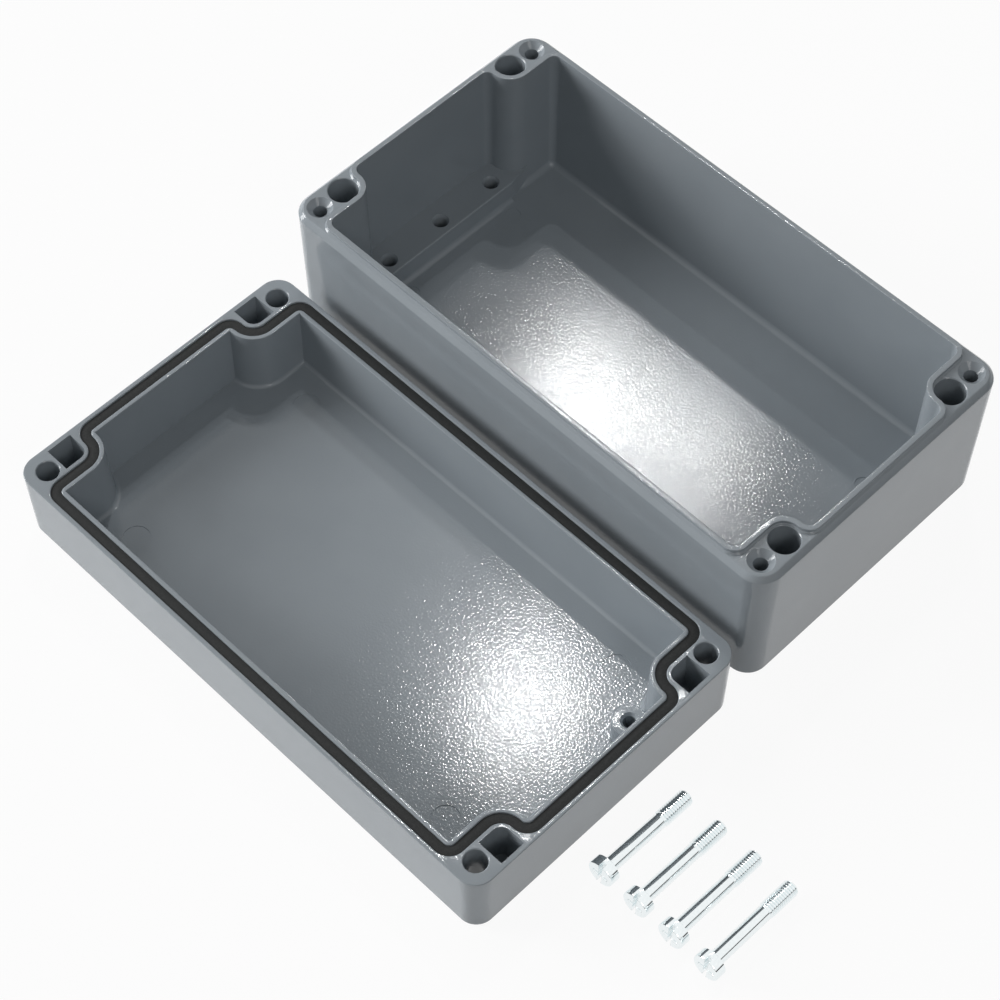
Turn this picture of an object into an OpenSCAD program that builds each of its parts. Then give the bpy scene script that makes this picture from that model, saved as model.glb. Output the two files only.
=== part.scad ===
// Die cast aluminium enclosure, shown open: the base stands open side up,
// the lid lies upside down beside it with its gasket in the groove, and the
// four lid screws lie in a row next to the lid.
// The origin is the centre of the base's underside, with the length along X.

/* [Box] */
// Outside length of base and lid
box_l = 220; // [212:1:260]
// Outside width of base and lid
box_w = 120; // [116:1:160]
// Height of the base from its underside to the ledge
base_h = 60; // [45:1:90]
// Height of the lid from its outer face to its flange
lid_h = 30; // [26:1:45]
// Radius of the base's upright outer corners
corner_r = 9; // [7:0.5:12]
// Radius of the lid's upright outer corners
lid_corner_r = 7.3; // [5:0.1:10]
// Thickness of the base's floor
floor_t = 4; // [3:0.5:7]
// Thickness of the lid's roof
roof_t = 4; // [3:0.5:7]
// Rounding of the outer edges that the two castings lie on
foot_r = 1.2; // [0.6:0.1:2]
// Draft of the outside walls in degrees
draft_out = 1; // [0.25:0.25:2]
// Draft of the base's inside walls in degrees
draft_in = 0.75; // [0.25:0.25:1.5]
// Draft of the lid's inside walls in degrees
lid_draft_in = 2.5; // [1.5:0.25:3.5]
// Fillet between the walls and the floor inside the base
floor_fillet = 2.4; // [1:0.2:2.4]
// Fillet between the walls and the roof inside the lid
roof_fillet = 1.6; // [0.8:0.2:2.4]
// Softened edges of the castings, as the coat leaves them
soft_edge = 0.3; // [0.1:0.05:0.4]

/* [Seam] */
// Width of the gasket groove in the lid's flange
groove_w = 3.7; // [3.2:0.1:4.2]
// Depth of the gasket groove
groove_d = 3.5; // [3.2:0.1:5]
// Flange left between the groove and the outside of the lid
outer_lip = 1.7; // [1.4:0.1:1.9]
// Flange left between the groove and the inside of the lid
inner_lip = 1.65; // [1.4:0.05:2]
// Radius of the seam's turns beside the bosses
seam_r = 4.15; // [3.2:0.05:4.4]
// Radius of the seam's curve round each mounting hole
boss_r = 7; // [6.2:0.1:9]
// Thickness of the tongue on the base's ledge
tongue_w = 2; // [1.2:0.1:2.2]
// Height of the tongue above the ledge
tongue_h = 1.75; // [1:0.05:2.5]
// Sloped foot on the tongue's outer side
tongue_foot = 0.55; // [0.2:0.05:0.8]
// Softened edges of the tongue
tongue_edge = 0.2; // [0.1:0.05:0.5]
// Width of the bevel round the base's ledge
bevel_w = 1.7; // [0.8:0.1:2]
// Drop of the bevel from the ledge to the outer wall
bevel_drop = 2; // [1:0.1:3]
// Thickness of the gasket at its middle
gasket_t = 3.1; // [2:0.1:3.2]
// Crown of the gasket's face above its edges
gasket_crown = 0.25; // [0.1:0.05:0.6]
// Clearance between the gasket and each side of its groove
gasket_fit = 0.05; // [0.02:0.01:0.2]

/* [Wall mounting holes] */
// From each end of the box to the mounting holes
mount_edge_l = 8; // [8:0.5:10]
// From each side of the box to the mounting holes
mount_edge_w = 19; // [18:0.5:25]
// Diameter of the mounting hole through the pad
mount_hole_d = 6.5; // [5.5:0.1:8]
// Diameter of the deep well above the pad
mount_well_d = 10.8; // [9.5:0.1:11.4]
// Thickness of the pad that the mounting screw's head clamps
mount_pad_t = 6; // [4:0.5:12]
// Draft of the mounting wells in degrees
well_draft = 0.3; // [0:0.05:0.4]

/* [Lid screw holes] */
// From each end of the box to the lid screws
screw_edge_l = 8; // [7:0.5:9]
// From each side of the box to the lid screws
screw_edge_w = 8; // [7:0.5:9]
// Bore in the base that the thread is cut in
tap_d = 5; // [4.4:0.1:5.4]
// Diameter of the countersunk mouth of that bore
tap_mouth_d = 9.3; // [7:0.1:9.8]
// Depth of the bore below the ledge
tap_depth = 20; // [16:1:30]
// Diameter of the cored hole in the lid's flange
lid_hole_d = 8; // [7:0.1:8.4]
// Diameter of the hole through the web under the screw head
web_hole_d = 6.6; // [6.2:0.1:6.9]
// Thickness of that web
web_t = 4; // [3:0.5:8]
// Diameter of the recess for the screw head
recess_d = 11.5; // [10.8:0.1:12]
// Depth of the recess for the screw head
recess_depth = 6; // [4.5:0.5:9]

/* [Lid pockets] */
// Wall between each pocket and the gasket groove
pocket_wall = 1.4; // [1:0.1:2]
// Wall between each pocket and the outside of the lid
pocket_outer = 1.8; // [1.4:0.1:3]
// Wall between each pocket and the screw hole beside it
pocket_gap = 1; // [0.8:0.1:2]
// Depth of the pockets below the flange
pocket_depth = 18; // [10:1:20]
// Draft of the pocket walls in degrees
pocket_draft = 1.5; // [0.5:0.25:2]

/* [Fixing rails in the base] */
// From each end of the box to the row of rail holes
rail_edge_l = 13; // [12:0.5:15]
// Distance from one rail hole to the next
rail_pitch_w = 26; // [18:1:27]
// Rail from the hole row to its front face
rail_front = 5.8; // [5:0.1:8]
// Height of the rails above the floor
rail_h = 9; // [6:0.5:14]
// Straight part of each rail's front face
rail_flat = 62; // [50:1:66]
// How far the ends of the front face step back to meet the corner bosses
rail_end_back = 2.6; // [2:0.1:4]
// Fillet at the foot of the rail's front face
rail_fillet = 2; // [1:0.5:3]
// Softened top edge of the rail
rail_edge = 0.6; // [0.3:0.1:1]
// Bore of the rail holes that the thread is cut in
rail_tap_d = 4.5; // [3.8:0.1:5]
// Diameter of the countersunk mouth of the rail holes
rail_mouth_d = 6.4; // [5.4:0.1:8]
// Depth of that countersink
rail_mouth_depth = 1.5; // [0.5:0.1:2]
// Metal left under the rail holes
rail_hole_floor = 3; // [2:0.5:4]

/* [Earth boss in the lid] */
// Distance from the lid's end to the earth hole
earth_edge = 14.7; // [13:0.1:18]
// Distance from the line of the mounting holes in to the earth hole
earth_in = 16.6; // [16:0.2:60]
// Radius of the earth boss
earth_r = 6; // [5:0.5:7]
// Height of the earth boss above the roof
earth_h = 8; // [6:0.5:12]
// Bore of the earth hole that the thread is cut in
earth_tap_d = 4.5; // [3.8:0.1:5]
// Diameter of the countersunk mouth of the earth hole
earth_mouth_d = 6.3; // [5.4:0.1:7]
// Metal left under the earth hole
earth_hole_floor = 3; // [2:0.5:4]

/* [Ejector marks] */
// Depth of the ejector pin marks
mark_depth = 0.2; // [0.1:0.02:0.3]
// Diameter of the marks in the base
mark_d = 6; // [4:0.5:9]
// From each end of the box to the base's marks
mark_edge_l = 24.5; // [24:0.5:35]
// From each side of the box to the base's marks
mark_edge_w = 34; // [30:0.5:40]
// Diameter of the marks in the lid
lid_mark_d = 9.8; // [8:0.2:11]
// From each end of the box to the lid's marks
lid_mark_edge_l = 34.5; // [30:0.5:50]
// From each side of the box to the lid's marks
lid_mark_edge_w = 20.5; // [16:0.5:25]

/* [Screws] */
// Outer diameter of the screw's thread
screw_d = 6; // [5:0.1:6]
// Diameter of the plain shank, thinner than the thread so that the screw stays in the lid
shank_d = 5.3; // [4.6:0.1:5.6]
// Length of the threaded end
thread_l = 13; // [8:1:20]
// How far the screw reaches into the base
screw_reach = 13; // [8:1:15]
// Diameter of the screw's head
head_d = 10; // [8.5:0.1:10.6]
// Height of the screw's head
head_h = 3.9; // [3.5:0.1:4.4]
// Rounding of the head's top edge
head_edge = 0.5; // [0.2:0.1:0.8]
// Width of the driving slot
slot_w = 1.5; // [1.2:0.1:1.8]
// Depth of the driving slot
slot_depth = 2; // [1.5:0.1:2.4]
// Span of the cross recess beside the slot
cross_l = 6.2; // [5:0.1:7]
// Width of the cross recess at its mouth
cross_w = 1.7; // [1.2:0.1:2]
// Depth of the cross recess
cross_depth = 2.6; // [2:0.1:2.8]
// Length of the chamfer at the screw's tip
tip_chamfer = 0.9; // [0.5:0.1:1.5]

/* [Layout] */
// Gap between the base and the lid lying beside it
lid_gap = 6.7; // [2:0.1:40]
// Gap between the lid and the first screw's head
screw_gap = 9.2; // [2:0.1:40]
// Distance from one screw to the next
screw_row_pitch = 15; // [12:0.5:30]
// Distance from the lid's centre line to the undersides of the heads
screw_row_off = 15.5; // [-20:0.5:40]

/* [Hidden] */
$fn = 96;
arc_steps = 6;
// How far cutting and filling forms run on past a face
past = 1;
// How far the pits run on past their mouths, clear of the tongue
over = 5;
// Smallest radius that a rounded corner or a fillet may taper to
least_radius = 0.1;
least_corner = 1;
// Gives the two facets of an eased square corner the slopes 30 and 60 degrees
ease_share = 0.366;

// Middle line of the groove, the gasket and the tongue, in the first quarter
edge_to_seam = outer_lip + groove_w / 2;
seam_x = box_l / 2 - edge_to_seam;
seam_y = box_w / 2 - edge_to_seam;
mount_x = box_l / 2 - mount_edge_l;
mount_y = box_w / 2 - mount_edge_w;
boss_x = mount_x - boss_r;
boss_y = mount_y - boss_r;
bend_r = min(seam_r, seam_x - mount_x);

screw_x = box_l / 2 - screw_edge_l;
screw_y = box_w / 2 - screw_edge_w;
rail_hole_x = box_l / 2 - rail_edge_l;
rail_x = rail_hole_x - rail_front;
rail_top = floor_t + rail_h;
rail_depth = seam_x - rail_x;
earth_x = box_l / 2 - earth_edge;
earth_y = mount_y - earth_in;
earth_top = roof_t + earth_h;
lid_y = -box_w - lid_gap;

// The screw passes the lid's web and then reaches into the base
screw_l = lid_h - recess_depth + screw_reach;
// A screw lies on its head's lower edge and on its tip, so its axis leans
screw_lean = atan((head_d - screw_d) / 2 / (screw_l - tip_chamfer));

paint = [0.50, 0.54, 0.57];
rubber = [0.13, 0.14, 0.14];
plating = [0.78, 0.79, 0.80];

// Points on an arc, from one angle to the other
function arc(x, y, r, from, to) =
    [for (i = [0 : arc_steps])
        let (a = from + (to - from) * i / arc_steps)
        [x + r * cos(a), y + r * sin(a)]];

// Length kept to whole microns, so that forms which share a face agree on it
function micron(length) = round(length * 1000) / 1000;

// Two short facets in place of the corner at a point, which one wall reaches along
// the direction from and the other leaves along the direction to.
function eased(at, from, to, size) =
    let (back = -size * from / norm(from), on = size * to / norm(to))
    [for (p = [at + back, at + (back + on) * ease_share, at + on]) [micron(p.x), micron(p.y)]];

// Rounded foot of a drafted wall that starts at x = 0 and the height top.
// x is measured outward from there and y is the height.
function wall_foot(top, bottom, draft, r) =
    let (inset = (top - bottom - r) * tan(draft))
    [for (p = arc(-inset - r, bottom + r, r, 0, -90)) [micron(p.x), micron(p.y)]];

// Full cross section between two such walls, each at half from the middle
function section(half, wall) =
    concat([for (p = wall) [half + p.x, p.y]],
           [for (i = [len(wall) - 1 : -1 : 0]) [-half - wall[i].x, wall[i].y]]);

// Repeats the first quarter in all four
module four_quarters() {
    for (mx = [0, 1]) {
        for (my = [0, 1]) {
            mirror([mx, 0, 0]) mirror([0, my, 0]) children();
        }
    }
}

// Repeats the +X end at the other end
module both_ends() {
    for (mx = [0, 1]) {
        mirror([mx, 0, 0]) children();
    }
}

// Runs a flat section along X, with its x turned to Y and its y to Z
module along_x(length) {
    rotate([90, 0, 90]) linear_extrude(length) children();
}

// Runs a flat section back along Y, with its y turned to Z
module along_y(length) {
    rotate([90, 0, 0]) linear_extrude(length) children();
}

// Block or pit with drafted walls and upright corners of radius r, or sharp ones.
// hx and hy are its half length and half width at the top of the wall line.
module drafted_form(hx, hy, r, wall) {
    tall = wall[0].y;
    low = wall[len(wall) - 1].y;
    end_x = hx + max(wall[0].x, 0);
    end_y = hy + max(wall[0].x, 0);
    difference() {
        intersection() {
            translate([-end_x, 0, 0]) along_x(2 * end_x) polygon(section(hy, wall));
            translate([0, end_y, 0]) along_y(2 * end_y) polygon(section(hx, wall));
        }
        if (r > 0) {
            four_quarters() {
                translate([hx - r, hy - r, low - past]) {
                    cube([r + past, r + past, tall - low + 2 * past]);
                }
            }
        }
    }
    if (r > 0) {
        four_quarters() {
            translate([hx - r, hy - r, 0]) rotate_extrude(angle = 90) intersection() {
                polygon(section(r, wall));
                translate([0, low - past]) square([r + past, tall - low + 2 * past]);
            }
        }
    }
}

// Inside of a casting: a drafted pit that keeps to the inside of the seam.
// d is how far its mouth lies outward of the seam, and is negative.
// Its corners are round down to the floor, where the fillet keeps within their radius,
// and sharp where the draft would use that radius up. Lip is the wall's line at the mouth.
module seam_pit(d, mouth, bottom, draft, wanted_fillet, lip) {
    mouth_r = bend_r + d;
    foot_r_left = mouth_r - (mouth - bottom) * tan(draft) - least_radius;
    rounded = foot_r_left > least_corner;
    corner = rounded ? mouth_r : 0;
    fillet = rounded ? min(wanted_fillet, foot_r_left) : wanted_fillet;
    raised = concat([[lip[0].x, mouth + over]], lip, wall_foot(mouth, bottom, draft, fillet));
    drafted_form(boss_x + d, seam_y + d, corner, raised);
    drafted_form(seam_x + d, boss_y + d, corner, raised);
    difference() {
        translate([-mount_x, -mount_y, bottom]) {
            cube([2 * mount_x, 2 * mount_y, mouth + over - bottom]);
        }
        four_quarters() {
            translate([mount_x, mount_y, 0]) rotate_extrude() boss_section(boss_r - d, raised);
        }
    }
}

// Section of the round boss that a pit leaves standing about a mounting hole
module boss_section(r, wall) {
    foot = wall[len(wall) - 1];
    polygon(concat([[0, wall[0].y + past], [r - wall[0].x, wall[0].y + past]],
                   [for (p = wall) [r - p.x, p.y]],
                   [[r - foot.x, foot.y - past], [0, foot.y - past]]));
}

// Sweeps a section once round the seam.
// The section's x is the distance outward from the seam and its y is the height.
module round_seam() {
    long_half = boss_x - bend_r;
    end_half = boss_y - bend_r;
    for (my = [0, 1]) {
        mirror([0, my, 0]) translate([-long_half, seam_y, 0]) along_x(2 * long_half) children();
    }
    both_ends() {
        translate([seam_x, end_half, 0]) along_y(2 * end_half) children();
    }
    four_quarters() {
        translate([boss_x - bend_r, seam_y - bend_r, 0]) seam_turn() children();
        translate([boss_x, seam_y - bend_r, 0]) along_y(seam_y - bend_r - mount_y) children();
        translate([mount_x, mount_y, 0]) rotate([0, 0, 180]) rotate_extrude(angle = 90) {
            translate([boss_r, 0]) mirror([1, 0]) children();
        }
        if (seam_r < seam_x - mount_x) {
            translate([mount_x, boss_y, 0]) along_x(seam_x - bend_r - mount_x) children();
        }
        translate([seam_x - bend_r, boss_y - bend_r, 0]) seam_turn() children();
    }
}

// A quarter turn of the seam beside a boss
module seam_turn() {
    rotate_extrude(angle = 90) translate([bend_r, 0]) children();
}

// Countersunk bore going down from z = 0
module tapped_bore(bore_d, mouth_d, mouth_depth, depth) {
    translate([0, 0, -depth]) cylinder(h = depth + past, d = bore_d);
    translate([0, 0, -mouth_depth]) cylinder(h = mouth_depth, d1 = bore_d, d2 = mouth_d);
    cylinder(h = past, d = mouth_d);
}

// Tongue that stands on the ledge and presses into the gasket
module tongue() {
    half = tongue_w / 2;
    top = base_h + tongue_h;
    round_seam() {
        polygon(concat([[-half, base_h - past]],
                       eased([-half, top], [0, 1], [1, 0], tongue_edge),
                       eased([half, top], [1, 0], [0, -1], tongue_edge),
                       [[half, base_h + tongue_foot], [half + tongue_foot, base_h],
                        [half + tongue_foot, base_h - past]]));
    }
}

// Fixing rail left standing along the +X end of the base.
// Its front face turns back at both ends to meet the corner bosses.
module rail() {
    reach = mount_y + rail_end_back;
    straight_half = rail_flat / 2;
    foot_x = rail_x - rail_fillet - past;
    back_x = rail_x + rail_depth;
    end_x = rail_x + rail_end_back;
    intersection() {
        translate([rail_x, reach, 0]) along_y(2 * reach) rail_section();
        linear_extrude(rail_top + past) {
            polygon([[foot_x, straight_half], [rail_x, straight_half],
                     [end_x, reach], [back_x, reach], [back_x, -reach], [end_x, -reach],
                     [rail_x, -straight_half], [foot_x, -straight_half]]);
        }
    }
}

// Section of the rail, with x = 0 at its front face
module rail_section() {
    polygon(concat(arc(-rail_fillet, floor_t + rail_fillet, rail_fillet, -90, 0),
                   arc(rail_edge, rail_top - rail_edge, rail_edge, 180, 90),
                   [[rail_depth, rail_top], [rail_depth, floor_t - past],
                    [-rail_fillet, floor_t - past]]));
}

// The three tapped holes of the rail at the +X end
module rail_holes() {
    for (row = [-1 : 1]) {
        translate([rail_hole_x, row * rail_pitch_w, rail_top]) {
            tapped_bore(rail_tap_d, rail_mouth_d, rail_mouth_depth, rail_top - rail_hole_floor);
        }
    }
}

// Well and through hole for one wall mounting screw
module mount_hole() {
    well_r = mount_well_d / 2;
    shrink = (base_h - mount_pad_t) * tan(well_draft);
    translate([mount_x, mount_y, 0]) {
        translate([0, 0, -past]) cylinder(h = mount_pad_t + 2 * past, d = mount_hole_d);
        translate([0, 0, mount_pad_t]) {
            cylinder(h = base_h - mount_pad_t, r1 = well_r - shrink, r2 = well_r);
        }
        translate([0, 0, base_h - soft_edge]) {
            cylinder(h = soft_edge, r1 = well_r, r2 = well_r + soft_edge);
        }
        translate([0, 0, base_h]) cylinder(h = over, r = well_r + soft_edge);
    }
}

module base() {
    mouth_depth = (tap_mouth_d - tap_d) / 2;
    bevel_top = [-bevel_w, base_h];
    bevel_foot = [0, base_h - bevel_drop];
    slope = bevel_foot - bevel_top;
    outline = concat(eased(bevel_top, [1, 0], slope, soft_edge),
                     eased(bevel_foot, slope, [0, -1], soft_edge),
                     wall_foot(bevel_foot.y, 0, draft_out, foot_r));
    color(paint) {
        difference() {
            union() {
                difference() {
                    drafted_form(box_l / 2, box_w / 2, corner_r, outline);
                    difference() {
                        seam_pit(-tongue_w / 2, base_h, floor_t, draft_in, floor_fillet,
                                 [[0, base_h]]);
                        both_ends() rail();
                    }
                }
                tongue();
            }
            both_ends() rail_holes();
            four_quarters() {
                mount_hole();
                translate([screw_x, screw_y, base_h]) {
                    tapped_bore(tap_d, tap_mouth_d, mouth_depth, tap_depth);
                }
                translate([box_l / 2 - mark_edge_l, box_w / 2 - mark_edge_w, floor_t - mark_depth]) {
                    cylinder(h = past, d = mark_d);
                }
            }
        }
    }
}

// Stepped hole for one lid screw: head recess, web and cored hole
module lid_screw_hole() {
    translate([screw_x, screw_y, 0]) {
        translate([0, 0, -past]) cylinder(h = recess_depth + past, d = recess_d);
        translate([0, 0, -past]) cylinder(h = lid_h + 2 * past, d = web_hole_d);
        translate([0, 0, recess_depth + web_t]) cylinder(h = lid_h, d = lid_hole_d);
        cylinder(h = soft_edge, d1 = recess_d + 2 * soft_edge, d2 = recess_d);
        translate([0, 0, lid_h - soft_edge]) {
            cylinder(h = soft_edge, d1 = lid_hole_d, d2 = lid_hole_d + 2 * soft_edge);
        }
    }
}

// Pocket that saves metal behind the flange, over a mounting hole of the base
module lid_pocket() {
    low_x = boss_x + groove_w / 2 + pocket_wall;
    low_y = boss_y + groove_w / 2 + pocket_wall;
    high_x = box_l / 2 - pocket_outer;
    high_y = screw_y - lid_hole_d / 2 - pocket_gap;
    bottom = lid_h - pocket_depth;
    round_r = mount_x - low_x;
    inset = micron(pocket_depth * tan(pocket_draft));
    difference() {
        intersection() {
            translate([0, high_y, 0]) along_y(high_y - low_y) pocket_section(low_x, high_x, inset);
            translate([low_x, 0, 0]) along_x(high_x - low_x) pocket_section(low_y, high_y, inset);
        }
        difference() {
            translate([low_x - past, low_y - past, bottom - past]) {
                cube([round_r + past, mount_y - low_y + past, pocket_depth + over]);
            }
            translate([mount_x, mount_y, bottom]) {
                cylinder(h = pocket_depth, r1 = round_r - inset, r2 = round_r);
            }
            translate([mount_x, mount_y, lid_h]) cylinder(h = past, r = round_r);
        }
    }
}

// Section across a pocket whose walls lean in by inset at the bottom
module pocket_section(low, high, inset) {
    bottom = lid_h - pocket_depth;
    polygon([[low, lid_h + past], [low, lid_h], [low + inset, bottom],
             [high - inset, bottom], [high, lid_h], [high, lid_h + past]]);
}

// Half round boss on the lid's end wall for the earth screw
module earth_boss() {
    tall = earth_h + past;
    flare = micron(tall * tan(draft_out));
    side = concat([[earth_r + flare, 0]], eased([earth_r, tall], [0, 1], [-1, 0], soft_edge));
    translate([earth_x, earth_y, roof_t - past]) {
        rotate_extrude() polygon(concat([[0, 0]], side, [[0, tall]]));
        along_x(earth_edge) {
            polygon(concat(side, [for (i = [len(side) - 1 : -1 : 0]) [-side[i].x, side[i].y]]));
        }
    }
}

module lid_casting() {
    earth_mouth_depth = (earth_mouth_d - earth_tap_d) / 2;
    groove_half = groove_w / 2;
    outline = concat(eased([0, lid_h], [1, 0], [0, -1], soft_edge),
                     wall_foot(lid_h, 0, draft_out, foot_r));
    difference() {
        drafted_form(box_l / 2, box_w / 2, lid_corner_r, outline);
        difference() {
            seam_pit(-groove_half - inner_lip, lid_h, roof_t, lid_draft_in, roof_fillet,
                     eased([0, lid_h], [-1, 0], [0, -1], soft_edge));
            earth_boss();
        }
        round_seam() {
            polygon(concat([[-groove_half, lid_h - groove_d], [groove_half, lid_h - groove_d]],
                           eased([groove_half, lid_h], [0, 1], [1, 0], soft_edge),
                           [[groove_half + soft_edge, lid_h + past],
                            [-groove_half - soft_edge, lid_h + past]],
                           eased([-groove_half, lid_h], [1, 0], [0, -1], soft_edge)));
        }
        four_quarters() {
            lid_screw_hole();
            lid_pocket();
            translate([box_l / 2 - lid_mark_edge_l, box_w / 2 - lid_mark_edge_w,
                       roof_t - mark_depth]) {
                cylinder(h = past, d = lid_mark_d);
            }
        }
        translate([earth_x, earth_y, earth_top]) {
            tapped_bore(earth_tap_d, earth_mouth_d, earth_mouth_depth,
                        earth_top - earth_hole_floor);
        }
    }
}

module lid() {
    color(paint) translate([0, lid_y, 0]) lid_casting();
}

// Foamed gasket that fills the groove and is crowned along its middle
module gasket() {
    half = groove_w / 2 - gasket_fit;
    low = lid_h - groove_d;
    side = low + gasket_t - gasket_crown;
    crown = [for (i = [0 : arc_steps])
        let (t = 1 - 2 * i / arc_steps)
        [half * t, side + gasket_crown * (1 - t * t)]];
    color(rubber) translate([0, lid_y, 0]) round_seam() {
        polygon(concat([[-half, low], [half, low]], crown));
    }
}

// Lid screw standing on its tip end, with the underside of its head at z = 0
module upright_screw() {
    tip_d = screw_d - 2 * tip_chamfer;
    slot_floor = head_h - slot_depth;
    cross_floor = head_h - cross_depth;
    difference() {
        union() {
            rotate_extrude() {
                polygon(concat([[0, head_h], [0, 0], [head_d / 2, 0]],
                               arc(head_d / 2 - head_edge, head_h - head_edge, head_edge, 0, 90)));
            }
            translate([0, 0, -screw_l + tip_chamfer]) cylinder(h = screw_l - tip_chamfer, d = shank_d);
            translate([0, 0, -screw_l + tip_chamfer]) cylinder(h = thread_l - tip_chamfer, d = screw_d);
            translate([0, 0, -screw_l]) cylinder(h = tip_chamfer, d1 = tip_d, d2 = screw_d);
        }
        translate([-slot_w / 2, -head_d, slot_floor]) cube([slot_w, 2 * head_d, slot_depth + past]);
        rotate([90, 0, 0]) linear_extrude(cross_w, center = true) {
            polygon([[-cross_l / 2, head_h + past], [-cross_l / 2, head_h],
                     [-cross_l / 4, cross_floor], [cross_l / 4, cross_floor],
                     [cross_l / 2, head_h], [cross_l / 2, head_h + past]]);
        }
    }
}

// One screw lying in the row, head towards -Y
module lying_screw(place) {
    x = box_l / 2 + screw_gap + head_d / 2 + place * screw_row_pitch;
    y = lid_y - screw_row_off;
    rest = head_d / 2 * cos(screw_lean);
    color(plating) translate([x, y, rest]) rotate([90 - screw_lean, 0, 0]) upright_screw();
}

module screw_1() { lying_screw(0); }
module screw_2() { lying_screw(1); }
module screw_3() { lying_screw(2); }
module screw_4() { lying_screw(3); }

base();
lid();
gasket();
screw_1();
screw_2();
screw_3();
screw_4();
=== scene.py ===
import math

import bpy
from mathutils import Matrix, Vector


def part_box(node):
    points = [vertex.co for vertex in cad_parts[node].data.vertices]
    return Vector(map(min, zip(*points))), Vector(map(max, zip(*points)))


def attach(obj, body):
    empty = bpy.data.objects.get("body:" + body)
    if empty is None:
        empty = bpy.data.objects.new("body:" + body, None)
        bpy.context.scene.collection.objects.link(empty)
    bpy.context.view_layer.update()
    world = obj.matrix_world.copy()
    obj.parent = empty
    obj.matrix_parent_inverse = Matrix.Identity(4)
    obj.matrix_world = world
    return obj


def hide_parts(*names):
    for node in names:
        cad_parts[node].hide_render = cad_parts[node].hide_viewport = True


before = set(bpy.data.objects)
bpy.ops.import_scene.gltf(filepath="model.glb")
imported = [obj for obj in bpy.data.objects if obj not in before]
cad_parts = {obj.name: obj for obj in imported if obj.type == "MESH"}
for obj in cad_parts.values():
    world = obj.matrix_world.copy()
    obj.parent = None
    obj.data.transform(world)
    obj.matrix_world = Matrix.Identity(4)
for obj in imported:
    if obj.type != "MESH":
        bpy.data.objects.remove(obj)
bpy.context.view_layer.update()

# Base casting: one die cast aluminium tray with drafted walls, corner bosses with deep wells,
# two fixing rails and a tongue on its ledge. It is blasted and then powder coated in one glossy
# blue grey coat, so its edges are soft and every face has a fine orange peel.


def deselect_all():
    """Nothing stays selected, so that an operator reaches only the piece in hand."""
    if bpy.context.mode != "OBJECT":
        bpy.ops.object.mode_set(mode="OBJECT")
    bpy.ops.object.select_all(action="DESELECT")


def pick(piece):
    """Makes the piece the only one selected, and the active one."""
    deselect_all()
    piece.select_set(True)
    bpy.context.view_layer.objects.active = piece


def smooth_copy(node, name):
    """Copies a CAD node, welds its loose triangles and shades its eased edges as round ones."""
    piece = bpy.data.objects.new(name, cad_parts[node].data.copy())
    bpy.context.scene.collection.objects.link(piece)
    pick(piece)
    bpy.ops.mesh.customdata_custom_splitnormals_clear()
    bpy.ops.object.mode_set(mode="EDIT")
    bpy.ops.mesh.select_all(action="SELECT")
    bpy.ops.mesh.remove_doubles(threshold=0.000002)
    bpy.ops.object.mode_set(mode="OBJECT")
    bpy.ops.object.shade_smooth_by_angle(angle=math.radians(36))
    weights = piece.modifiers.new("flat_faces_lead", "WEIGHTED_NORMAL")
    weights.mode = "FACE_AREA"
    weights.weight = 70
    weights.keep_sharp = True
    bpy.ops.object.modifier_apply(modifier=weights.name)
    piece.data.materials.clear()
    return piece


def add_node(tree, kind, label, **settings):
    """Adds a shader node, with its settings and the plain values of its inputs."""
    made = tree.nodes.new(kind)
    made.label = label
    for key, value in settings.items():
        if key in made.inputs:
            made.inputs[key].default_value = value
        else:
            setattr(made, key, value)
    return made


# Orange peel of a powder coat: shallow rounded cells, a little under a millimetre wide.
peel = bpy.data.node_groups.new("orange_peel", "ShaderNodeTree")
peel.interface.new_socket("Cell Scale", in_out="INPUT", socket_type="NodeSocketFloat")
peel.interface.new_socket("Cell Depth", in_out="INPUT", socket_type="NodeSocketFloat")
peel.interface.new_socket("Normal", in_out="OUTPUT", socket_type="NodeSocketVector")
peel_in = peel.nodes.new("NodeGroupInput")
peel_out = peel.nodes.new("NodeGroupOutput")
peel_place = peel.nodes.new("ShaderNodeTexCoord")
peel_cells = add_node(peel, "ShaderNodeTexNoise", "cells", Detail=1.0, Roughness=0.4)
peel_bump = add_node(peel, "ShaderNodeBump", "peel", Strength=1.0)
peel.links.new(peel_place.outputs["Object"], peel_cells.inputs["Vector"])
peel.links.new(peel_in.outputs["Cell Scale"], peel_cells.inputs["Scale"])
peel.links.new(peel_cells.outputs["Fac"], peel_bump.inputs["Height"])
peel.links.new(peel_in.outputs["Cell Depth"], peel_bump.inputs["Distance"])
peel.links.new(peel_bump.outputs["Normal"], peel_out.inputs["Normal"])


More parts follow.
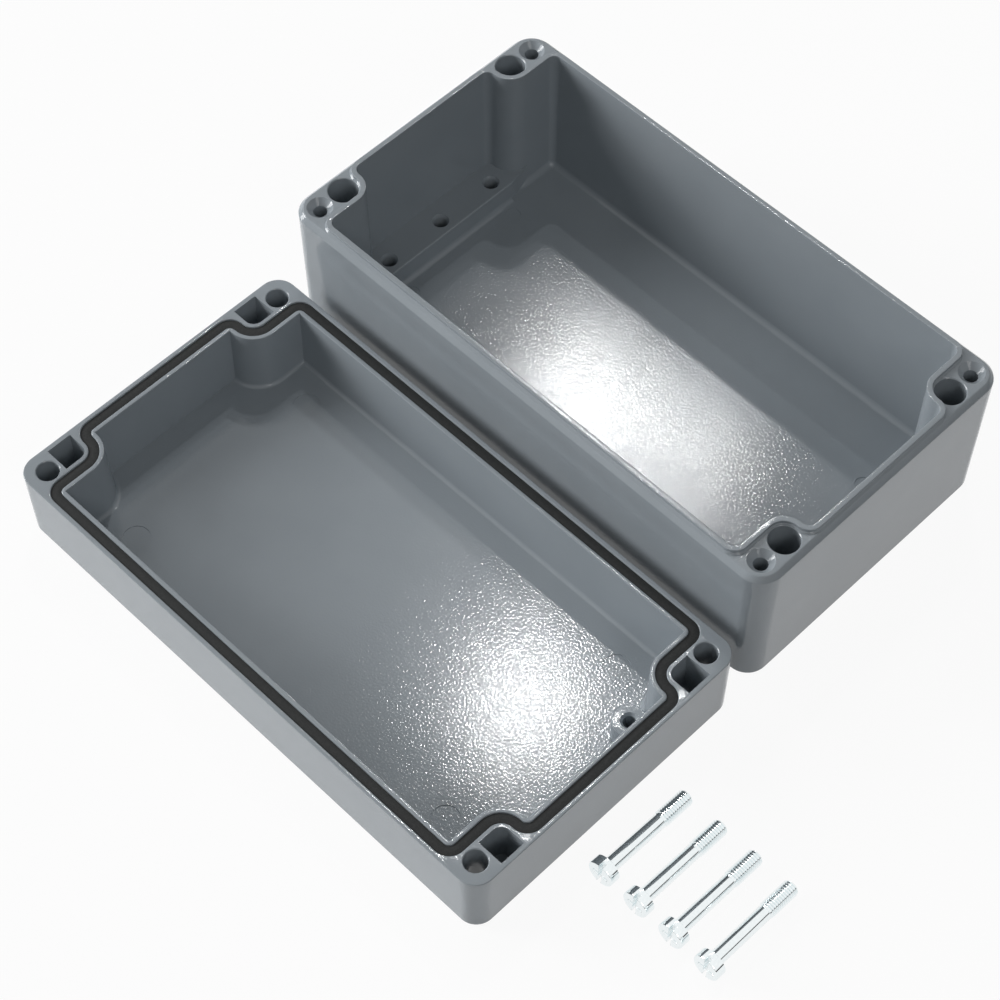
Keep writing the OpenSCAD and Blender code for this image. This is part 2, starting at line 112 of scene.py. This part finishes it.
def powder_coat(name):
    """Glossy blue grey powder coat over cast aluminium."""
    material = bpy.data.materials.new(name)
    material.use_nodes = True
    tree = material.node_tree
    coat = tree.nodes["Principled BSDF"]
    coat.inputs["IOR"].default_value = 1.45
    coat.inputs["Specular IOR Level"].default_value = 0.3
    place = tree.nodes.new("ShaderNodeTexCoord")
    clouds = add_node(tree, "ShaderNodeTexNoise", "uneven coat", Scale=35.0, Detail=3.0)
    tone = add_node(tree, "ShaderNodeValToRGB", "coat colour")
    tone.color_ramp.elements[0].position = 0.3
    tone.color_ramp.elements[0].color = (0.285, 0.318, 0.345, 1.0)
    tone.color_ramp.elements[1].position = 0.7
    tone.color_ramp.elements[1].color = (0.305, 0.338, 0.365, 1.0)
    gloss = add_node(tree, "ShaderNodeMapRange", "gloss")
    gloss.inputs["To Min"].default_value = 0.082
    gloss.inputs["To Max"].default_value = 0.097
    skin = add_node(tree, "ShaderNodeGroup", "orange peel", node_tree=peel)
    skin.inputs["Cell Scale"].default_value = 1250.0
    skin.inputs["Cell Depth"].default_value = 0.0000262
    tree.links.new(place.outputs["Object"], clouds.inputs["Vector"])
    tree.links.new(clouds.outputs["Fac"], tone.inputs["Fac"])
    tree.links.new(tone.outputs["Color"], coat.inputs["Base Color"])
    tree.links.new(clouds.outputs["Fac"], gloss.inputs["Value"])
    tree.links.new(gloss.outputs["Result"], coat.inputs["Roughness"])
    tree.links.new(skin.outputs["Normal"], coat.inputs["Normal"])
    return material


base = smooth_copy("base", "base_casting")
base.data.materials.append(powder_coat("powder_coat"))
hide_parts("base")
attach(base, "root")

# Lid casting: the cover of the same box, cast and coated the same way, lying upside down.
# Its flange holds the gasket groove, four screw holes, four pockets and a half round earth boss.
lid = smooth_copy("lid", "lid_casting")
lid.data.materials.append(bpy.data.materials["powder_coat"])
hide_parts("lid")
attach(lid, "root")

# Gasket: one ring of black foamed rubber, laid wet into the lid's groove and cured there,
# so its face is softly crowned and matt with a very fine foam skin.
gasket = smooth_copy("gasket", "foamed_gasket")
rubber = bpy.data.materials.new("foamed_rubber")
rubber.use_nodes = True
rubber_tree = rubber.node_tree
rubber_skin = rubber_tree.nodes["Principled BSDF"]
rubber_skin.inputs["Roughness"].default_value = 0.75
rubber_skin.inputs["Specular IOR Level"].default_value = 0.35
rubber_place = rubber_tree.nodes.new("ShaderNodeTexCoord")
foam = add_node(rubber_tree, "ShaderNodeTexNoise", "foam", Scale=1400.0, Detail=3.0, Roughness=0.6)
foam_tone = add_node(rubber_tree, "ShaderNodeValToRGB", "rubber colour")
foam_tone.color_ramp.elements[0].position = 0.35
foam_tone.color_ramp.elements[0].color = (0.010, 0.011, 0.011, 1.0)
foam_tone.color_ramp.elements[1].position = 0.7
foam_tone.color_ramp.elements[1].color = (0.020, 0.021, 0.021, 1.0)
foam_bump = add_node(rubber_tree, "ShaderNodeBump", "foam skin", Strength=0.6, Distance=0.00008)
rubber_tree.links.new(rubber_place.outputs["Object"], foam.inputs["Vector"])
rubber_tree.links.new(foam.outputs["Fac"], foam_tone.inputs["Fac"])
rubber_tree.links.new(foam_tone.outputs["Color"], rubber_skin.inputs["Base Color"])
rubber_tree.links.new(foam.outputs["Fac"], foam_bump.inputs["Height"])
rubber_tree.links.new(foam_bump.outputs["Normal"], rubber_skin.inputs["Normal"])
gasket.data.materials.append(rubber)
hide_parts("gasket")
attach(gasket, "root")

# Lid screws: four steel screws, turned, rolled and bright zinc plated, with a slotted cheese head
# and a cross recess in it. The shank is thinner than the thread, so that a screw stays in the lid.
# They lie in a row beside the lid, each on its head's lower edge and its tip.
screw_length = 0.037
head_radius = 0.005
head_height = 0.0039
head_edge = 0.0005
head_edge_steps = 4
shank_radius = 0.00265
neck_round = 0.0003
neck_middle = 0.0001
thread_radius = 0.003
thread_core = 0.00239
thread_length = 0.013
thread_pitch = 0.001
thread_start = thread_length - screw_length
tip_chamfer = 0.0009
broken_edge = 0.00008

# Half of the turned bar's outline, from the middle of the head's top round to the tip.
turned_outline = [(0.0, head_height)]
for step in range(head_edge_steps + 1):
    turn = math.radians(90.0 * (1.0 - step / head_edge_steps))
    turned_outline.append((head_radius - head_edge + head_edge * math.cos(turn),
                           head_height - head_edge + head_edge * math.sin(turn)))
turned_outline += [
    (head_radius, broken_edge),
    (head_radius - broken_edge, 0.0),
    (shank_radius + neck_round, 0.0),
    (shank_radius + neck_middle, -neck_middle),
    (shank_radius, -neck_round),
    (shank_radius, thread_start + neck_round),
    (thread_core, thread_start - neck_middle),
    (thread_core, tip_chamfer * 0.5 - screw_length),
    (thread_radius - tip_chamfer, -screw_length),
    (0.0, -screw_length),
]
deselect_all()
bpy.ops.mesh.primitive_plane_add(size=0.001)
screw = bpy.context.object
screw.name = "turned_screw"
bpy.ops.object.mode_set(mode="EDIT")
bpy.ops.mesh.merge(type="CENTER")
bpy.ops.transform.translate(value=(turned_outline[0][0], 0.0, turned_outline[0][1]))
for before, after in zip(turned_outline, turned_outline[1:]):
    stretch = (after[0] - before[0], 0.0, after[1] - before[1])
    bpy.ops.mesh.extrude_region_move(TRANSFORM_OT_translate={"value": stretch})
bpy.ops.mesh.select_all(action="SELECT")
bpy.ops.mesh.spin(steps=72, angle=math.radians(360.0), center=(0.0, 0.0, 0.0), axis=(0.0, 0.0, 1.0))
bpy.ops.mesh.select_all(action="SELECT")
bpy.ops.mesh.remove_doubles(threshold=0.000005)
bpy.ops.mesh.normals_make_consistent(inside=False)
bpy.ops.object.mode_set(mode="OBJECT")


def choose_faces(piece, wanted):
    """Goes to edit mode with only those faces selected that the test wanted accepts."""
    bpy.ops.object.mode_set(mode="EDIT")
    bpy.ops.mesh.select_mode(type="FACE")
    bpy.ops.mesh.select_all(action="DESELECT")
    bpy.ops.object.mode_set(mode="OBJECT")
    for face in piece.data.polygons:
        face.select = wanted(face)
    bpy.ops.object.mode_set(mode="EDIT")


def combine(piece, tool, operation):
    """Cuts the tool's form from the piece, keeps what they share or joins them."""
    pick(piece)
    boolean = piece.modifiers.new("combine", "BOOLEAN")
    boolean.operation = operation
    boolean.solver = "MANIFOLD"
    boolean.object = tool
    bpy.ops.object.modifier_apply(modifier="combine")
    bpy.data.objects.remove(tool)


# Rolled thread: a ridge of the metric form wound round the core. It starts below the tip and
# is turned a little, so that none of its edges falls on an edge of the core.
half_crest = thread_pitch / 16
half_root = half_crest + (thread_radius - thread_core) * math.tan(math.radians(30.0))
ridge_sink = 0.00012
ridge_turn = math.radians(2.3)
deselect_all()
bpy.ops.mesh.primitive_plane_add(size=2.0, rotation=(math.radians(90.0), 0.0, 0.0))
ridge = bpy.context.object
bpy.ops.object.transform_apply(location=True, rotation=True, scale=True)
for corner in ridge.data.vertices:
    outer = corner.co.x > 0.0
    upper = math.copysign(half_crest if outer else half_root, corner.co.z)
    corner.co = (thread_radius if outer else thread_core - ridge_sink, 0.0,
                 upper - screw_length - thread_pitch / 2)
bpy.ops.transform.rotate(value=ridge_turn, orient_axis="Z", center_override=(0.0, 0.0, 0.0))
bpy.ops.object.transform_apply(location=True, rotation=True, scale=True)
winding = ridge.modifiers.new("winding", "SCREW")
winding.axis = "Z"
winding.angle = math.radians(360.0)
winding.screw_offset = thread_pitch
winding.iterations = 14
winding.steps = 40
winding.render_steps = 40
winding.use_merge_vertices = False
bpy.ops.object.modifier_apply(modifier="winding")
bpy.ops.object.mode_set(mode="EDIT")
bpy.ops.mesh.select_all(action="SELECT")
bpy.ops.mesh.fill_holes(sides=4)
bpy.ops.mesh.select_all(action="SELECT")
bpy.ops.mesh.normals_make_consistent(inside=False)
bpy.ops.object.mode_set(mode="OBJECT")

# What trims the ridge: a cone at the tip, a straight run, and a run-out towards the shank.
sleeve_margin = 0.0001
sleeve_radius = thread_radius + sleeve_margin
tip_cone = sleeve_radius - (thread_radius - tip_chamfer)
run_out = 0.0009
run_out_share = 0.76
deselect_all()
bpy.ops.mesh.primitive_cone_add(vertices=72, radius1=thread_radius - tip_chamfer, radius2=sleeve_radius,
                                depth=tip_cone, location=(0.0, 0.0, tip_cone / 2 - screw_length))
sleeve = bpy.context.object
bpy.ops.object.transform_apply(location=True, rotation=False, scale=False)
choose_faces(sleeve, lambda face: face.normal.z > 0.9)
straight_run = thread_length - tip_cone - run_out
bpy.ops.mesh.extrude_region_move(TRANSFORM_OT_translate={"value": (0.0, 0.0, straight_run)})
bpy.ops.mesh.extrude_region_move(TRANSFORM_OT_translate={"value": (0.0, 0.0, run_out)})
bpy.ops.transform.resize(value=(run_out_share, run_out_share, 1.0),
                         center_override=(0.0, 0.0, thread_start))
bpy.ops.object.mode_set(mode="OBJECT")
combine(ridge, sleeve, "INTERSECT")
combine(screw, ridge, "UNION")

# Slot across the head, and the cross recess whose other arm slopes in to its floor.
slot_size = (0.0015, 0.012, 0.004)
cross_size = (0.0062, 0.0017, 0.0052)
cross_floor_share = (0.5, 0.6, 1.0)
deselect_all()
bpy.ops.mesh.primitive_cube_add(size=1.0, location=(0.0, 0.0, head_height), scale=slot_size)
combine(screw, bpy.context.object, "DIFFERENCE")
deselect_all()
bpy.ops.mesh.primitive_cube_add(size=1.0, location=(0.0, 0.0, head_height), scale=cross_size)
cross = bpy.context.object
bpy.ops.object.transform_apply(location=True, rotation=False, scale=True)
bpy.ops.object.mode_set(mode="EDIT")
bpy.ops.mesh.select_all(action="SELECT")
bpy.ops.mesh.bisect(plane_co=(0.0, 0.0, head_height), plane_no=(0.0, 0.0, 1.0))
bpy.ops.object.mode_set(mode="OBJECT")
choose_faces(cross, lambda face: face.normal.z < -0.9)
bpy.ops.transform.resize(value=cross_floor_share, center_override=(0.0, 0.0, head_height))
bpy.ops.object.mode_set(mode="OBJECT")
combine(screw, cross, "DIFFERENCE")

# The edges of slot and recess are broken, as the plating leaves them.
bpy.ops.object.mode_set(mode="EDIT")
bpy.ops.mesh.select_mode(type="EDGE")
bpy.ops.mesh.select_all(action="DESELECT")
bpy.ops.mesh.edges_select_sharp(sharpness=math.radians(52.0))
bpy.ops.object.mode_set(mode="OBJECT")
for edge in screw.data.edges:
    on_head = all(screw.data.vertices[end].co.z > 2 * broken_edge for end in edge.vertices)
    edge.select = edge.select and on_head
bpy.ops.object.mode_set(mode="EDIT")
bpy.ops.mesh.bevel(offset=broken_edge, segments=2, affect="EDGES", clamp_overlap=False)
bpy.ops.object.mode_set(mode="OBJECT")
bpy.ops.object.shade_smooth_by_angle(angle=math.radians(40.0))

# The plating's rings and fine grain follow each screw's own axis, so its upright shape is kept.
upright = screw.data.attributes.new("as_turned", "FLOAT_VECTOR", "POINT")
for place, corner in zip(upright.data, screw.data.vertices):
    place.vector = corner.co

zinc = bpy.data.materials.new("bright_zinc")
zinc.use_nodes = True
zinc_tree = zinc.node_tree
zinc_skin = zinc_tree.nodes["Principled BSDF"]
zinc_skin.inputs["Metallic"].default_value = 1.0
zinc_place = add_node(zinc_tree, "ShaderNodeAttribute", "upright shape", attribute_name="as_turned")
zinc_round = add_node(zinc_tree, "ShaderNodeVectorMath", "across the axis", operation="MULTIPLY")
zinc_round.inputs[1].default_value = (1.0, 1.0, 0.0)
zinc_radius = add_node(zinc_tree, "ShaderNodeVectorMath", "radius", operation="LENGTH")
zinc_split = add_node(zinc_tree, "ShaderNodeSeparateXYZ", "height")
zinc_lathe = add_node(zinc_tree, "ShaderNodeCombineXYZ", "radius and height")
zinc_rings = add_node(zinc_tree, "ShaderNodeTexNoise", "turning rings", Scale=9000.0, Detail=2.0)
zinc_grain = add_node(zinc_tree, "ShaderNodeTexNoise", "plating grain", Scale=1500.0, Detail=3.0)
zinc_tone = add_node(zinc_tree, "ShaderNodeValToRGB", "zinc colour")
zinc_tone.color_ramp.elements[0].position = 0.3
zinc_tone.color_ramp.elements[0].color = (0.82, 0.87, 0.88, 1.0)
zinc_tone.color_ramp.elements[1].position = 0.7
zinc_tone.color_ramp.elements[1].color = (0.90, 0.94, 0.95, 1.0)
zinc_gloss = add_node(zinc_tree, "ShaderNodeMapRange", "gloss")
zinc_gloss.inputs["To Min"].default_value = 0.04
zinc_gloss.inputs["To Max"].default_value = 0.09
zinc_bump = add_node(zinc_tree, "ShaderNodeBump", "rings", Strength=0.4, Distance=0.000004)
zinc_tree.links.new(zinc_place.outputs["Vector"], zinc_round.inputs[0])
zinc_tree.links.new(zinc_round.outputs["Vector"], zinc_radius.inputs[0])
zinc_tree.links.new(zinc_place.outputs["Vector"], zinc_split.inputs["Vector"])
zinc_tree.links.new(zinc_radius.outputs["Value"], zinc_lathe.inputs["X"])
zinc_tree.links.new(zinc_split.outputs["Z"], zinc_lathe.inputs["Y"])
zinc_tree.links.new(zinc_lathe.outputs["Vector"], zinc_rings.inputs["Vector"])
zinc_tree.links.new(zinc_place.outputs["Vector"], zinc_grain.inputs["Vector"])
zinc_tree.links.new(zinc_grain.outputs["Fac"], zinc_tone.inputs["Fac"])
zinc_tree.links.new(zinc_tone.outputs["Color"], zinc_skin.inputs["Base Color"])
zinc_tree.links.new(zinc_grain.outputs["Fac"], zinc_gloss.inputs["Value"])
zinc_tree.links.new(zinc_gloss.outputs["Result"], zinc_skin.inputs["Roughness"])
zinc_tree.links.new(zinc_rings.outputs["Fac"], zinc_bump.inputs["Height"])
zinc_tree.links.new(zinc_bump.outputs["Normal"], zinc_skin.inputs["Normal"])

# The cuts leave material numbers of their own on their faces, so all are set to the zinc.
screw.data.materials.clear()
screw.data.materials.append(zinc)
for face in screw.data.polygons:
    face.material_index = 0

# Each screw lies on its head's edge and its tip, so it leans a little; each is on its node's axis.
lean = math.atan((head_radius - thread_radius) / (screw_length - tip_chamfer))
for number in range(1, 5):
    node = f"screw_{number}"
    low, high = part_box(node)
    laid = bpy.data.objects.new(f"lid_screw_{number}", screw.data.copy())
    bpy.context.scene.collection.objects.link(laid)
    head_under = Vector(((low[0] + high[0]) / 2, high[1] - screw_length * math.cos(lean)
                         - (thread_radius - tip_chamfer) * math.sin(lean), head_radius * math.cos(lean)))
    laid.matrix_world = Matrix.Translation(head_under) @ Matrix.Rotation(math.radians(90.0) - lean, 4, "X")
    pick(laid)
    bpy.ops.object.transform_apply(location=True, rotation=True, scale=True)
    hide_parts(node)
    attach(laid, "root")
bpy.data.objects.remove(screw)

# Studio floor: a plain white paper sheet that the box stands on and that keeps its soft shadow.
# To the lens and in reflections it is nearly white, as a pale product photograph has it.
deselect_all()
bpy.ops.mesh.primitive_plane_add(size=8.0, location=(0.0, 0.0, 0.0))
floor = bpy.context.object
floor.name = "studio_floor"
sheet = bpy.data.materials.new("white_sheet")
sheet.use_nodes = True
sheet_tree = sheet.node_tree
sheet_out = sheet_tree.nodes["Material Output"]
sheet_face = sheet_tree.nodes["Principled BSDF"]
sheet_face.inputs["Base Color"].default_value = (0.82, 0.82, 0.82, 1.0)
sheet_face.inputs["Roughness"].default_value = 0.9
sheet_face.inputs["Specular IOR Level"].default_value = 0.0
sheet_glow = add_node(sheet_tree, "ShaderNodeEmission", "white", Strength=1.0)
sheet_ray = sheet_tree.nodes.new("ShaderNodeLightPath")
sheet_first = add_node(sheet_tree, "ShaderNodeMath", "lens or gloss", operation="MAXIMUM")
sheet_seen = add_node(sheet_tree, "ShaderNodeMath", "keeps the shadow", operation="MULTIPLY")
sheet_seen.inputs[1].default_value = 0.93
sheet_mix = sheet_tree.nodes.new("ShaderNodeMixShader")
sheet_tree.links.new(sheet_ray.outputs["Is Camera Ray"], sheet_first.inputs[0])
sheet_tree.links.new(sheet_ray.outputs["Is Glossy Ray"], sheet_first.inputs[1])
sheet_tree.links.new(sheet_first.outputs["Value"], sheet_seen.inputs[0])
sheet_tree.links.new(sheet_seen.outputs["Value"], sheet_mix.inputs["Fac"])
sheet_tree.links.new(sheet_face.outputs["BSDF"], sheet_mix.inputs[1])
sheet_tree.links.new(sheet_glow.outputs["Emission"], sheet_mix.inputs[2])
sheet_tree.links.new(sheet_mix.outputs["Shader"], sheet_out.inputs["Surface"])
floor.data.materials.append(sheet)

# Surroundings: a plain light room. It is white to the lens and in reflections, apart from a dark
# band at the horizon, and gives matt faces only a weak light.
room = bpy.data.worlds.new("light_room")
bpy.context.scene.world = room
room.use_nodes = True
room_tree = room.node_tree
room_back = room_tree.nodes["Background"]
room_back.inputs["Color"].default_value = (1.0, 1.0, 1.0, 1.0)
room_ray = room_tree.nodes.new("ShaderNodeLightPath")
room_first = add_node(room_tree, "ShaderNodeMath", "lens or gloss", operation="MAXIMUM")
room_any = add_node(room_tree, "ShaderNodeMath", "or through glass", operation="MAXIMUM")
room_level = add_node(room_tree, "ShaderNodeMapRange", "room light")
room_level.inputs["To Min"].default_value = 0.15
room_place = room_tree.nodes.new("ShaderNodeTexCoord")
room_axes = room_tree.nodes.new("ShaderNodeSeparateXYZ")
room_height = add_node(room_tree, "ShaderNodeMapRange", "darker towards the horizon")
room_height.inputs["From Min"].default_value = 0.1
room_height.inputs["From Max"].default_value = 0.22
room_height.inputs["To Min"].default_value = 0.02
room_height.inputs["To Max"].default_value = 1.0
room_tree.links.new(room_place.outputs["Generated"], room_axes.inputs["Vector"])
room_tree.links.new(room_axes.outputs["Z"], room_height.inputs["Value"])
room_tree.links.new(room_height.outputs["Result"], room_level.inputs["To Max"])
room_tree.links.new(room_ray.outputs["Is Camera Ray"], room_first.inputs[0])
room_tree.links.new(room_ray.outputs["Is Glossy Ray"], room_first.inputs[1])
room_tree.links.new(room_first.outputs["Value"], room_any.inputs[0])
room_tree.links.new(room_ray.outputs["Is Transmission Ray"], room_any.inputs[1])
room_tree.links.new(room_any.outputs["Value"], room_level.inputs["Value"])
room_tree.links.new(room_level.outputs["Result"], room_back.inputs["Strength"])


def soft_lamp(name, aim, azimuth, elevation, distance, width, power):
    """A round soft lamp that shines on the point aim from that direction."""
    around = math.radians(azimuth)
    up = math.radians(elevation)
    towards = Vector((math.cos(around) * math.cos(up), math.sin(around) * math.cos(up), math.sin(up)))
    lamp = bpy.data.lights.new(name, "AREA")
    lamp.shape = "DISK"
    lamp.size = width
    lamp.energy = power
    holder = bpy.data.objects.new(name, lamp)
    bpy.context.scene.collection.objects.link(holder)
    holder.location = Vector(aim) + towards * distance
    holder.rotation_euler = towards.to_track_quat("Z", "Y").to_euler()


# Three small lamps high behind the box make the bright pools on the two floors. Each is mirrored
# to the lens by the point of the floor that it shines on.
floor_height = 0.004
back_distance = 5.0
soft_lamp("back_lamp_wide", (-0.0155, -0.0145, floor_height), 131.9, 54.2, back_distance, 0.19, 15.0)
soft_lamp("back_lamp_side", (0.034, -0.0085, floor_height), 127.8, 55.2, back_distance, 0.12, 8.0)
soft_lamp("back_lamp_high", (0.063, -0.118, floor_height), 133.8, 60.6, back_distance, 0.10, 14.0)

# Four broad soft lamps light the walls: two low ones from the front left, which are the
# strongest, one from the right and one from the left end.
wall_aim = (0.0, -0.06, 0.03)
wall_distance = 4.0
wall_width = 1.6
soft_lamp("left_lamp_low", wall_aim, -150.0, 12.0, wall_distance, wall_width, 81.1)
soft_lamp("left_lamp_high", wall_aim, -145.0, 24.0, wall_distance, wall_width, 59.7)
soft_lamp("right_lamp", wall_aim, -20.0, 40.0, wall_distance, wall_width, 23.6)
soft_lamp("side_lamp", wall_aim, 180.0, 40.0, wall_distance, wall_width, 26.0)

# Camera: a long lens on a full frame body, which looks down on the open box from beyond its front
# right corner. Its place and angles are those that the photograph was taken from.
look_down = 56.236
look_left = 45.0
lens = bpy.data.cameras.new("product_lens")
lens.lens = 95.36
lens.sensor_width = 36.0
lens.clip_end = 50.0
camera = bpy.data.objects.new("product_camera", lens)
bpy.context.scene.collection.objects.link(camera)
camera.location = (0.3602, -0.4264, 0.7633)
camera.rotation_euler = (math.radians(90.0 - look_down), 0.0, math.radians(look_left))
bpy.context.scene.camera = camera
bpy.context.scene.view_settings.view_transform = "Standard"
